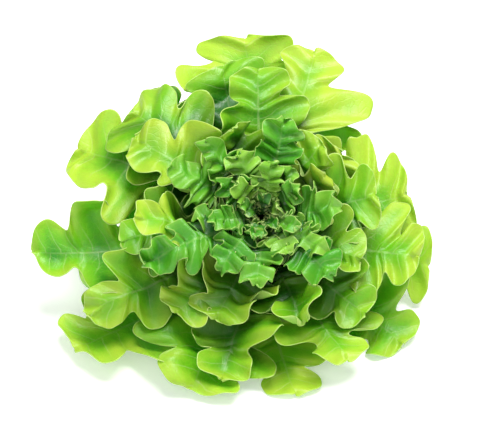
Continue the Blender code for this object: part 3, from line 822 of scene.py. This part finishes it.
def frilled_tree():
    """Geometry nodes that wave a leaf's margin, thicken the sheet to a closed blade and finish it."""
    tree = bpy.data.node_groups.new("leaf_blade", "GeometryNodeTree")
    tree.is_modifier = True
    face = tree.interface
    face.new_socket("Geometry", in_out="INPUT", socket_type="NodeSocketGeometry")
    for name in INPUTS:
        face.new_socket(name, in_out="INPUT", socket_type="NodeSocketFloat")
    face.new_socket("Finish", in_out="INPUT", socket_type="NodeSocketMaterial")
    face.new_socket("Geometry", in_out="OUTPUT", socket_type="NodeSocketGeometry")
    bench = Bench(tree)
    start = tree.nodes.new("NodeGroupInput")
    given = {item.name: Wire(bench, item) for item in start.outputs}

    def number(name):
        return bench.node("GeometryNodeInputNamedAttribute", {"data_type": "FLOAT"}, {"Name": name})

    def scaled(vector, by):
        return bench.node("ShaderNodeVectorMath", {"operation": "SCALE"}, {0: vector, "Scale": by})

    def moved(geometry, offset, selection=True):
        inputs = {"Geometry": geometry, "Selection": selection, "Offset": offset}
        return bench.node("GeometryNodeSetPosition", None, inputs)

    def above(geometry, lowest):
        split = bench.node("ShaderNodeSeparateXYZ", None, {0: bench.node("GeometryNodeInputPosition")})
        x, y, z = (Wire(bench, item) for item in split.socket.node.outputs)
        place = bench.vector(x, y, z.math("MAXIMUM", lowest))
        return bench.node("GeometryNodeSetPosition", None, {"Geometry": geometry, "Position": place})

    arc, margin = number("arc_mm"), number("margin_mm")
    seed = given["Seed"]
    # The frill: waves of uneven length along the margin, dying out inwards.
    side = number("x_mm").math("GREATER_THAN", 0.0) * SIDES_APART
    waves = arc / given["Frill length"]
    along = bench.vector(waves, seed + side, seed * LEAVES_APART)
    drift = bench.noise(along, DRIFT_SCALE, 1.0) - 0.5
    size = bench.noise(along, SIZE_SCALE, 1.0)
    turn = (waves + drift * DRIFT) * (2 * math.pi) + seed
    inward = (-margin / given["Frill depth"]).math("EXPONENT")
    heights = given["Frill height"] * (size * SIZE_GAIN - SIZE_LOSS) * inward * number("blade_part")
    wave = turn.math("SINE") * heights
    # The blade is puckered between its veins.
    place = bench.vector(number("x_mm"), number("start_mm"), seed)
    pucker = (bench.noise(place, PUCKER_SCALE, 1.0) - 0.5) * given["Pucker height"] * number("blade_part")
    normal = bench.node("GeometryNodeInputNormal")
    half = number("half_mm") * MM
    waved = moved(given["Geometry"], scaled(normal, wave + pucker))
    # Neighbouring points are drawn together, which rounds the waves and the folds.
    still = {0: bench.node("GeometryNodeInputPosition"), "Iterations": given["Rounding"], "Weight": 1.0}
    rounded = bench.node("GeometryNodeBlurAttribute", {"data_type": "FLOAT_VECTOR"}, still)
    waved = bench.node("GeometryNodeSetPosition", None, {"Geometry": waved, "Position": rounded})
    waved = above(waved, given["Floor"] + half)
    held = tree.nodes.new("GeometryNodeCaptureAttribute")
    held.capture_items.new("VECTOR", "normal")
    tree.links.new(waved.socket, held.inputs[0])
    tree.links.new(bench.node("GeometryNodeInputNormal").socket, held.inputs[1])
    waved, up = (Wire(bench, item) for item in held.outputs[:2])
    lower = moved(waved, scaled(up, -half))
    grown = {"Mesh": lower, "Offset Scale": 0.0, "Individual": False}
    shell = bench.node("GeometryNodeExtrudeMesh", {"mode": "FACES"}, grown)
    top = Wire(bench, shell.socket.node.outputs["Top"])
    upper = moved(shell, scaled(up, half * 2), top)
    turned = bench.node("GeometryNodeFlipFaces", None, {"Mesh": lower})
    stored = {"Geometry": turned, "Name": "under", "Value": 1.0}
    on_faces = {"data_type": "FLOAT", "domain": "FACE"}
    under = bench.node("GeometryNodeStoreNamedAttribute", on_faces, stored)
    join = tree.nodes.new("GeometryNodeJoinGeometry")
    tree.links.new(under.socket, join.inputs[0])
    tree.links.new(upper.socket, join.inputs[0])
    joined = {"Geometry": Wire(bench, join.outputs[0]), "Distance": 1e-6}
    whole = bench.node("GeometryNodeMergeByDistance", None, joined)
    whole = above(whole, given["Floor"])
    whole = bench.node("GeometryNodeRealizeInstances", None, {"Geometry": whole})
    whole = bench.node("GeometryNodeSetMaterial", None, {"Geometry": whole, "Material": given["Finish"]})
    end = tree.nodes.new("NodeGroupOutput")
    tree.links.new(whole.socket, end.inputs[0])
    return tree


leaf_blade = frilled_tree()


def quads(shape):
    """Four-sided faces over a grid of points, turned to face the heart."""
    number = np.arange(shape[0] * shape[1]).reshape(shape[:2])
    corners = (number[:-1, :-1], number[1:, :-1], number[1:, 1:], number[:-1, 1:])
    return np.stack([corner.ravel() for corner in corners], axis=1)


VEIN_STEP = 12.0
# The colour of the painted highlight along the leaves' margins.
RIM_HIGHLIGHT_GREEN = (0.66, 0.80, 0.24)
THROUGH = (0.13, 0.76, 0.02)
# The green of the painted shade deep among the leaves.
PAINTED_SHADE_GREEN = (0.001, 0.062, 0.003)
UNDERSIDE = (0.42, 0.62, 0.20)
RUST = (0.42, 0.20, 0.07)
# Scales of the noises, in waves to a mm, and how far apart in them leaves of different tones lie.
CLOUD, GRAIN, NET, SPECKS = 0.035, 0.9, 0.21, 0.33
TONES_APART = 40
# Where each kind of line or patch starts and ends, in mm, or as a share of the length or of a noise.
VEIN_WIDTH = (0.1, 0.8)
VEINS_FADE = (8.0, 30.0)
NET_WIDTH = (0.01, 0.085)
RIB_WIDTHS = (3.2, 0.4)
# Band along the margin over which the painted highlight on the leaf ends fades.
RIB_EDGE = (0.4, 1.1)
MARGIN_HIGHLIGHT_BAND = (1.0, 19.0)
FOOT = (0.02, 0.42)
RIM_HIGHLIGHT_WIDTH = (0.45, 1.05)
SPECKED = (0.70, 0.75)
SPECKS_FADE = (0.4, 1.5)
# Openness over which a point goes from full painted shade to none.
PAINTED_SHADE_OPENNESS = (0.04, 0.42)
# Lightness of the green at which it goes over from deep to middle and from middle to bright.
TO_MIDDLE = (0.0, 0.45)
TO_BRIGHT = (0.35, 0.95)


def leaf_finish(name, deep, mid, bright, pale, rim_highlight_share, share_through):
    """Leaf green: paler ribs and veins, a painted highlight along the rim, painted shade deep among the
    leaves, a paler underside and rusty specks at the margin.
    """
    material, bench, shader = new_material(name)
    x, start, share = map(bench.carried, ("x_mm", "start_mm", "share"))
    margin, tone, under, free = map(bench.carried, ("margin_mm", "tone", "under", "free"))
    aside = x.math("ABSOLUTE")
    flat = bench.vector(x, start + aside * VEIN_SLOPE, tone * TONES_APART)
    cloud = bench.noise(flat, CLOUD, 3.0)
    grain = bench.noise(flat, GRAIN, 3.0)
    # Side veins leave the rib at even steps and bend forward.
    ray = start - aside * aside * 0.005 + (cloud - 0.5) * 10 + x.math("GREATER_THAN", 0.0) * 4
    beside = (ray / VEIN_STEP).math("FRACT") - 0.5
    vein_mm = beside.math("ABSOLUTE") * VEIN_STEP
    veins = (1 - bench.ramp(vein_mm, *VEIN_WIDTH)) * (1 - bench.ramp(aside, *VEINS_FADE))
    cells = {"Vector": flat, "Scale": NET, "Randomness": 0.9}
    net = bench.node("ShaderNodeTexVoronoi", {"feature": "DISTANCE_TO_EDGE"}, cells)
    net = 1 - bench.ramp(net, *NET_WIDTH)
    width = between(RIB_WIDTHS, share)
    rib = (1 - bench.ramp(aside, width * RIB_EDGE[0], width * RIB_EDGE[1])) * (1.15 - share)
    lines = rib.math("MAXIMUM", veins * 0.4)
    # The green is painted lighter towards the margin, a painted highlight where the thin leaf ends catch
    # the light, and darker towards the middle of the blade and where few rays leave the head, a painted
    # shade. The leaf's tone and a cloudy noise vary it at random.
    margin_highlight = 1 - bench.ramp(margin, *MARGIN_HIGHLIGHT_BAND)
    painted_shade = 1 - bench.ramp(free, *PAINTED_SHADE_OPENNESS)
    light = 0.04 + margin_highlight * 0.38 + free * 0.36 + tone * 0.32 + (cloud - 0.5) * 0.7 + (grain - 0.5) * 0.1
    # The ramp from the deep to the bright green is partly painted shade and painted light, partly the
    # leaf's own tone.
    green = bench.mix(bench.ramp(light, *TO_MIDDLE), deep, mid)
    green = bench.mix(bench.ramp(light, *TO_BRIGHT), green, bright)
    green = bench.mix(net * 0.10, green, bright)
    green = bench.mix(lines * 0.5, green, pale)
    foot = 1 - bench.ramp(share, *FOOT)
    green = bench.mix(foot * 0.6, green, pale)
    # Painted shade: points that few rays leave, deep among the other leaves, are darkened to a deep
    # green.
    green = bench.mix(painted_shade * 0.9, green, PAINTED_SHADE_GREEN)
    # Painted highlight: a thin light line along the margin, where the thin edge catches the light.
    rim = 1 - bench.ramp(margin, *RIM_HIGHLIGHT_WIDTH)
    green = bench.mix(rim * (1 - foot) * rim_highlight_share, green, RIM_HIGHLIGHT_GREEN)
    green = bench.mix(under * 0.38, green, UNDERSIDE)
    specks = bench.ramp(bench.noise(flat, SPECKS), *SPECKED) * (1 - bench.ramp(margin, *SPECKS_FADE))
    green = bench.mix(specks * 0.6, green, RUST)
    rough = 0.30 + grain * 0.14 + under * 0.2
    raised = net * -0.25 + lines * -0.6 + grain * 0.3 + cloud
    raised = {"Strength": 0.45, "Distance": 0.7 * MM, "Height": raised}
    bump = bench.node("ShaderNodeBump", None, raised)
    bench.feed(shader, {"Base Color": green, "Roughness": rough, "Normal": bump})
    shader.inputs["Specular IOR Level"].default_value = 0.5
    through = bench.node("ShaderNodeBsdfTranslucent", None, {"Color": (*THROUGH, 1.0)})
    passes = share_through * (1 - lines * 0.6) * (1 - painted_shade * 0.6)
    both = {0: passes, 1: Wire(bench, shader.outputs[0]), 2: through}
    surface = bench.node("ShaderNodeMixShader", None, both)
    bench.feed(material.node_tree.nodes["Material Output"], {"Surface": surface})
    return material


# The outer leaves' greens from deep to pale, their tones, the shares of their painted rim highlight and
# of the light that passes through, their scallops (length and height), and their frills, as in INPUTS.
OUTER_GREENS = ((0.010, 0.18, 0.005), (0.17, 0.47, 0.010), (0.53, 0.67, 0.052), (0.60, 0.70, 0.34))
OUTER_TONES = (-0.2, 0.8)
LOOSE_RIM_HIGHLIGHT = 0.8
LOOSE_THROUGH = 0.34
OUTER_SCALLOP = (15.0 * MM, 0.7 * MM)
OUTER_FRILLS = (3.4 * MM, 36.0, 13.0, 3.0 * MM, 3.0)
# How many times finer than its coarse grid a leaf is made, along it and across.
LOOSE_FINER = (7, 8)
# The rays that find out how deep in the head a point lies, for the painted shade: their number, start and
# length.
RAYS = 40
RAY_START = 2.0 * MM
RAY_LENGTH = 70.0 * MM
# The highest seed that the noises of a leaf are given.
MOST_SEED = 40

draw = np.random.default_rng(SEED)
head = Head()
cover = Cover()
blades = []
for order in range(LEAVES):
    leaf = Leaf(order, head, draw)
    blades.append(Blade(leaf, head, cover, [] if leaf.heart else blades))


def openness(blades):
    """For each leaf, the share of rays from each point of its coarse grid that leave the head."""
    points = np.concatenate([blade.grid.reshape(-1, 3) for blade in blades])
    firsts = np.cumsum([0] + [blade.half.size for blade in blades[:-1]])
    faces = np.concatenate([blade.faces + first for blade, first in zip(blades, firsts)])
    tree = BVHTree.FromPolygons(points.tolist(), faces.tolist())
    heights = 1 - (2 * np.arange(RAYS) + 1) / RAYS
    turns = np.radians(GOLDEN_ANGLE) * np.arange(RAYS)
    flat = np.sqrt(1 - heights**2)
    ways = np.stack([flat * np.cos(turns), flat * np.sin(turns), heights], axis=1)
    rays = [Vector(ray) for ray in ways]
    free = []
    for point in map(Vector, points.tolist()):
        hits = (tree.ray_cast(point + ray * RAY_START, ray, RAY_LENGTH)[0] for ray in rays)
        free.append(sum(hit is None for hit in hits) / RAYS)
    return [np.reshape(part, blade.half.shape) for part, blade in zip(np.split(free, firsts[1:]), blades)]


open_shares = openness(blades)
outer_finish = leaf_finish("outer_leaf_green", *OUTER_GREENS, LOOSE_RIM_HIGHLIGHT, LOOSE_THROUGH)
looks = np.random.default_rng(SEED)


def add_leaf(blade, name, material, frills, scallop, times, tone):
    """A closed, frilled leaf as a plain mesh object, which carries how deep in the head it lies for its
    painted shade.
    """
    grid, floats = sheet(blade, looks, times, scallop)
    floats["tone"] = np.full(grid.shape[:2], tone)
    floats["free"] = np.clip(finer(open_shares[blade.leaf.order], times), 0, 1)
    seed = float(looks.uniform(0, MOST_SEED))
    inputs = {**dict(zip(INPUTS, (*frills, seed, CLEAR))), "Finish": material}
    points = (grid + shift).reshape(-1, 3).tolist()
    made = piece(name, points, quads(grid.shape).tolist(), material, floats)
    modifier = made.modifiers.new("blade", "NODES")
    modifier.node_group = leaf_blade
    for item in leaf_blade.interface.items_tree:
        if item.in_out == "INPUT" and item.name in inputs:
            modifier[item.identifier] = inputs[item.name]
    graph = bpy.context.evaluated_depsgraph_get()
    mesh = bpy.data.meshes.new_from_object(made.evaluated_get(graph))
    made.modifiers.clear()
    made.data = mesh
    mesh.name = name
    return made


for blade in blades[:OUTER_LEAVES]:
    name = f"leaf_outer_{blade.leaf.order + 1:02d}"
    tone = looks.uniform(*OUTER_TONES)
    given = (outer_finish, OUTER_FRILLS, OUTER_SCALLOP, LOOSE_FINER, tone)
    leaf = add_leaf(blade, "green_" + name, *given)
    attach(leaf, "root")
    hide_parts(name)


# The middle leaves.
# Eighteen younger leaves inside the outer ones, shorter and more upright, with tighter waves along
# their margins. They curve outwards, so that their bright ends make the face of the head.

MIDDLE_GREENS = ((0.010, 0.19, 0.005), (0.17, 0.48, 0.010), (0.53, 0.67, 0.052), (0.60, 0.70, 0.34))
MIDDLE_TONES = (-0.3, 0.9)
MIDDLE_SCALLOP = (11.0 * MM, 0.6 * MM)
MIDDLE_FRILLS = (4.2 * MM, 27.0, 11.0, 2.4 * MM, 3.0)

middle_finish = leaf_finish("middle_leaf_green", *MIDDLE_GREENS, LOOSE_RIM_HIGHLIGHT, LOOSE_THROUGH)
for blade in blades[OUTER_LEAVES:LOOSE_LEAVES]:
    name = f"leaf_middle_{blade.leaf.order - OUTER_LEAVES + 1:02d}"
    tone = looks.uniform(*MIDDLE_TONES)
    given = (middle_finish, MIDDLE_FRILLS, MIDDLE_SCALLOP, LOOSE_FINER, tone)
    leaf = add_leaf(blade, "green_" + name, *given)
    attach(leaf, "root")
    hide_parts(name)


# The heart.
# The youngest leaves, packed round the growing tip. They are small and tightly ruffled, with painted
# shade where they crowd together and a painted highlight along their margins. They grow from the short
# core they share.

HEART_GREENS = ((0.004, 0.13, 0.006), (0.070, 0.35, 0.012), (0.32, 0.60, 0.06), (0.42, 0.64, 0.18))
HEART_TONES = (-0.6, 0.8)
HEART_RIM_HIGHLIGHT = 0.5
HEART_THROUGH = 0.30
HEART_SCALLOP = (4.5 * MM, 0.5 * MM)
HEART_FINER = (4, 3)
# Frills of its oldest and of its youngest leaf.
OLDEST_FRILLS = np.array([8.5 * MM, 18.0, 12.0, 0.8 * MM, 2.0])
YOUNGEST_FRILLS = np.array([3.0 * MM, 9.0, 6.0, 0.8 * MM, 2.0])
# The core's bottom along the axis, its foot's radii, how finely it is turned, and how open it lies, which
# sets its painted shade.
CORE_BOTTOM = 48.4 * MM
CORE_FOOT = (6.0 * MM, 6.8 * MM)
CORE_AROUND = 32
CORE_OPEN = 0.1

heart_finish = leaf_finish("heart_leaf_green", *HEART_GREENS, HEART_RIM_HIGHLIGHT, HEART_THROUGH)
parts = []
for blade in blades[LOOSE_LEAVES:]:
    young = (blade.leaf.order - LOOSE_LEAVES) / (LEAVES - LOOSE_LEAVES)
    frills = between((OLDEST_FRILLS, YOUNGEST_FRILLS), young).tolist()
    tone = looks.uniform(*HEART_TONES)
    parts.append(add_leaf(blade, "heart_part", heart_finish, frills, HEART_SCALLOP, HEART_FINER, tone))

core_points = []
core_outline = [(0.0, CORE_BOTTOM), (CORE_FOOT[0], CORE_BOTTOM), (CORE_FOOT[1], CORE_BOTTOM + MM)]
core_outline += [(CORE_TOP_RADIUS, CORE_TOP), (0.0, CORE_TOP)]
for r, z in core_outline:
    for k in range(CORE_AROUND):
        turn = 2 * math.pi * k / CORE_AROUND
        across = RIGHT * math.cos(turn) + UP * math.sin(turn)
        core_points.append(tuple(BUTT + shift + r * across + OUT * z))
core_faces = ring_faces(len(core_outline), CORE_AROUND)
open_core = {"free": np.full(len(core_points), CORE_OPEN)}
parts.append(piece("heart_core", core_points, core_faces, heart_finish, open_core))

joined = bmesh.new()
for part in parts:
    joined.from_mesh(part.data)
    bpy.data.objects.remove(part)
bmesh.ops.remove_doubles(joined, verts=joined.verts, dist=1e-7)
heart_mesh = bpy.data.meshes.new("ruffled_heart")
joined.to_mesh(heart_mesh)
joined.free()
heart_mesh.materials.append(heart_finish)
heart_mesh.shade_smooth()
heart = placed("ruffled_heart", heart_mesh)
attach(heart, "root")
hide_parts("heart")


# The table, the light and the camera.
# A matt white sweep under a big soft light from above and behind, with a weaker fill from the front,
# seen from a step away and a little above the axis of the head.

TABLE_WHITE = (0.90, 0.90, 0.90)
TABLE_SHADE = (0.86, 0.86, 0.86)
TABLE_GLOW = 0.3
TABLE_HALF = 3.0
WHITE = (1.0, 1.0, 1.0, 1.0)
ROOM_LIGHT = 0.5
# Columns: name, watts, diameter, place.
LAMPS = (("key", 44.0, 1.2, (0.3, 0.1, 1.7)), ("fill", 9.0, 1.4, (-0.7, -1.3, 1.2)))
LIT_POINT = (0.0, 0.0, 0.05)

floor_material, bench, shader = new_material("white_table")
place = bench.node("ShaderNodeTexCoord", output=3)
bench.feed(shader, {"Base Color": bench.mix(bench.noise(place, 9.0) * 0.3, TABLE_WHITE, TABLE_SHADE)})
shader.inputs["Roughness"].default_value = 0.7
shader.inputs["Emission Color"].default_value = WHITE
shader.inputs["Emission Strength"].default_value = TABLE_GLOW
corners = [(x * TABLE_HALF, y * TABLE_HALF, 0) for x, y in ((-1, -1), (1, -1), (1, 1), (-1, 1))]
floor = piece("table", corners, [(0, 1, 2, 3)], floor_material)

world = bpy.data.worlds.new("studio")
bpy.context.scene.world = world
world.use_nodes = True
background = world.node_tree.nodes["Background"].inputs
background["Color"].default_value = WHITE
background["Strength"].default_value = ROOM_LIGHT

for name, watts, diameter, place in LAMPS:
    light = bpy.data.lights.new(name, "AREA")
    light.shape = "DISK"
    light.size = diameter
    light.energy = watts
    lamp = placed(name, light)
    lamp.location = place
    lamp.rotation_euler = (Vector(LIT_POINT) - Vector(place)).to_track_quat("-Z", "Y").to_euler()

VIEW_ELEVATION = math.radians(38)
VIEW_DISTANCE = 1.6
SENSOR_WIDTH = 36.0
# At the head the photo is 480 pixels wide of 0.725 mm each, and the heart lies 22 of them off its middle.
PIXEL = 0.725 * MM
PHOTO_WIDTH_AT_HEAD = 480 * PIXEL
HEART_RIGHT_OF_MIDDLE = 22 * PIXEL
HEART_CENTRE = BUTT + shift + OUT * 96.0 * MM

camera = bpy.data.cameras.new("camera")
eye = placed("camera", camera)
back = np.array([0.0, -math.cos(VIEW_ELEVATION), math.sin(VIEW_ELEVATION)])
target = HEART_CENTRE - RIGHT * HEART_RIGHT_OF_MIDDLE
eye.location = target + back * VIEW_DISTANCE
eye.rotation_euler = Vector(-back).to_track_quat("-Z", "Y").to_euler()
camera.lens = SENSOR_WIDTH * VIEW_DISTANCE / PHOTO_WIDTH_AT_HEAD
bpy.context.scene.camera = eye
bpy.context.scene.view_settings.view_transform = "Standard"
